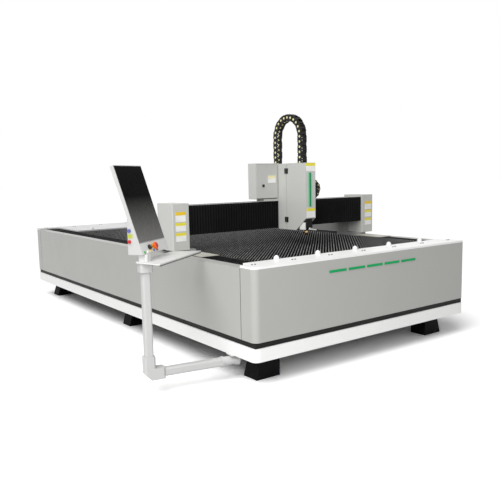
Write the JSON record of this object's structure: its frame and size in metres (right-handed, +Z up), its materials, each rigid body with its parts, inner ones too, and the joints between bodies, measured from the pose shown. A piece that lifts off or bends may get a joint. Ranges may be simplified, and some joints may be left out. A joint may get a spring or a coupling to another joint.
{
  "type": "fiber laser cutting machine",
  "caption": "Open-bed fiber laser cutting machine with a sliding gantry, saw-tooth slats and a swivelling operator console on an arm",
  "frame": {"origin": "the middle of the whole machine's footprint, on the floor", "axes": "+Z up, -Y is the front of the bed where the sheet is loaded, -X is the console's side"},
  "size_m": [2.9676, 4.403, 1.8973],
  "materials": {
    "warm_grey_paint": "satin, light warm grey",
    "white_paint": "satin white",
    "black_paint": "satin black",
    "cover_grey_paint": "satin, light grey",
    "dark_grey_paint": "satin dark grey",
    "beige_paint": "satin beige",
    "green_plastic": "green",
    "slat_steel": "cut mild steel",
    "rail_steel": "ground steel",
    "bolt_steel": "blackened steel",
    "bellows_black": "black coated cloth",
    "chain_black": "black moulded",
    "head_aluminium": "anodised",
    "nozzle_brass": "turned",
    "black_plastic": "black",
    "screen_glass": "dark glass",
    "red_plastic": "red",
    "blue_plastic": "blue",
    "green_button_plastic": "green",
    "yellow_plastic": "yellow",
    "white_plastic": "white"
  },
  "bodies": {
    "bed": {"base_frame": "white_paint", "main_frame": "black_paint", "feet": "black_paint", "side_panel_left": "warm_grey_paint", "side_panel_right": "warm_grey_paint", "front_panel": "warm_grey_paint", "back_panel": "warm_grey_paint", "top_rims": "warm_grey_paint", "front_flange": "white_paint", "back_cover": "white_paint", "flange_bolts": "bolt_steel", "glide_studs": "white_plastic", "light_strips": "green_plastic", "slats": "slat_steel", "slat_combs": "slat_steel", "scrap_tray": "slat_steel", "y_rails": "rail_steel", "y_racks": "rail_steel", "trough_bellows_front": "bellows_black", "trough_bellows_rear": "bellows_black", "arm_bracket": "white_paint", "console_arm": "white_paint", "console_elbow": "white_paint", "console_column": "white_paint"},
    "gantry": {"gantry_beam": "dark_grey_paint", "saddles": "dark_grey_paint", "end_cover_left": "cover_grey_paint", "end_cover_right": "cover_grey_paint", "rail_covers": "beige_paint", "beam_rails": "rail_steel", "drive_motors": "black_paint", "beam_bellows": "bellows_black", "beam_chain": "chain_black"},
    "pinion_left_body": {"pinion_left": "rail_steel"},
    "pinion_right_body": {"pinion_right": "rail_steel"},
    "carriage": {"carriage_plate": "dark_grey_paint", "chain_bracket": "cover_grey_paint", "carriage_box": "cover_grey_paint", "z_cover": "cover_grey_paint", "door_hinges": "black_plastic", "arch_chain": "chain_black"},
    "rear_flap": {"carriage_door": "cover_grey_paint"},
    "lock": {"door_lock": "black_plastic"},
    "axis_door": {"z_door": "cover_grey_paint"},
    "head": {"head_slide": "dark_grey_paint", "laser_head": "head_aluminium", "nozzle": "nozzle_brass"},
    "console": {"console_tray": "white_paint", "console_box": "white_paint", "monitor_case": "white_paint", "screen_glass": "screen_glass"},
    "knob": {"control_knob": "black_plastic"},
    "stop_button": {"estop_button": "red_plastic"},
    "panel_button_1_body": {"panel_button_1": "green_button_plastic"},
    "panel_button_2_body": {"panel_button_2": "white_plastic"},
    "panel_button_3_body": {"panel_button_3": "yellow_plastic"},
    "panel_button_4_body": {"panel_button_4": "blue_plastic"},
    "panel_button_5_body": {"panel_button_5": "red_plastic"},
    "side_button_blue_body": {"side_button_blue": "blue_plastic"},
    "side_button_red_body": {"side_button_red": "red_plastic"}
  },
  "joints": [
    {"name": "gantry_slide", "type": "slide", "parent": "bed", "child": "gantry", "axis": [0, 1, 0], "range_m": [-0.45, 2.6], "deforming": ["trough_bellows_front", "trough_bellows_rear"]},
    {"name": "carriage_slide", "type": "slide", "parent": "gantry", "child": "carriage", "axis": [1, 0, 0], "range_m": [-0.75, 0.75], "deforming": ["beam_bellows", "beam_chain"]},
    {"name": "head_lift", "type": "slide", "parent": "carriage", "child": "head", "axis": [0, 0, 1], "range_m": [-0.07, 0.03], "deforming": ["arch_chain"]},
    {"name": "pinion_left_spin", "type": "hinge", "parent": "gantry", "child": "pinion_left_body", "pos_m": [-0.64294, -0.9795, 0.7], "axis": [0, 0, 1], "continuous": true},
    {"name": "pinion_right_spin", "type": "hinge", "parent": "gantry", "child": "pinion_right_body", "pos_m": [1.36046, -0.9795, 0.7], "axis": [0, 0, 1], "continuous": true},
    {"name": "rear_flap_hinge", "type": "hinge", "parent": "carriage", "child": "rear_flap", "pos_m": [0.17726, -1.1528, 1.484], "axis": [-1, 0, 0], "range_deg": [0, 100]},
    {"name": "lock_turn", "type": "hinge", "parent": "rear_flap", "child": "lock", "pos_m": [0.13276, -1.1528, 1.299], "axis": [0, -1, 0], "range_deg": [0, 90]},
    {"name": "axis_door_hinge", "type": "hinge", "parent": "carriage", "child": "axis_door", "pos_m": [0.29176, -1.2635, 1.01], "axis": [0, 0, -1], "range_deg": [0, 100]},
    {"name": "console_swivel", "type": "hinge", "parent": "bed", "child": "console", "pos_m": [-1.32724, -1.8125, 0.858], "axis": [0, 0, 1], "range_deg": [-95, 50]},
    {"name": "knob_turn", "type": "hinge", "parent": "console", "child": "knob", "pos_m": [-1.28482, -1.79262, 0.95016], "axis": [0.5557, -0.7649, 0.3257], "range_deg": [-60, 60]},
    {"name": "stop_press", "type": "slide", "parent": "console", "child": "stop_button", "axis": [-0.5557, 0.7649, -0.3257], "range_m": [0, 0.006], "stiffness_N_per_m": 400},
    {"name": "panel_button_1_press", "type": "slide", "parent": "console", "child": "panel_button_1_body", "axis": [-0.5557, 0.7649, -0.3257], "range_m": [0, 0.003], "stiffness_N_per_m": 400},
    {"name": "panel_button_2_press", "type": "slide", "parent": "console", "child": "panel_button_2_body", "axis": [-0.5557, 0.7649, -0.3257], "range_m": [0, 0.003], "stiffness_N_per_m": 400},
    {"name": "panel_button_3_press", "type": "slide", "parent": "console", "child": "panel_button_3_body", "axis": [-0.5557, 0.7649, -0.3257], "range_m": [0, 0.003], "stiffness_N_per_m": 400},
    {"name": "panel_button_4_press", "type": "slide", "parent": "console", "child": "panel_button_4_body", "axis": [-0.5557, 0.7649, -0.3257], "range_m": [0, 0.003], "stiffness_N_per_m": 400},
    {"name": "panel_button_5_press", "type": "slide", "parent": "console", "child": "panel_button_5_body", "axis": [-0.5557, 0.7649, -0.3257], "range_m": [0, 0.003], "stiffness_N_per_m": 400},
    {"name": "side_button_blue_press", "type": "slide", "parent": "console", "child": "side_button_blue_body", "axis": [0.809, 0.5878, 0], "range_m": [0, 0.004], "stiffness_N_per_m": 400},
    {"name": "side_button_red_press", "type": "slide", "parent": "console", "child": "side_button_red_body", "axis": [0.809, 0.5878, 0], "range_m": [0, 0.004], "stiffness_N_per_m": 400}
  ],
  "couplings": [
    {"joint": "pinion_left_spin", "follows": "gantry_slide", "rad_per_m": -62.5},
    {"joint": "pinion_right_spin", "follows": "gantry_slide", "rad_per_m": 62.5}
  ]
}
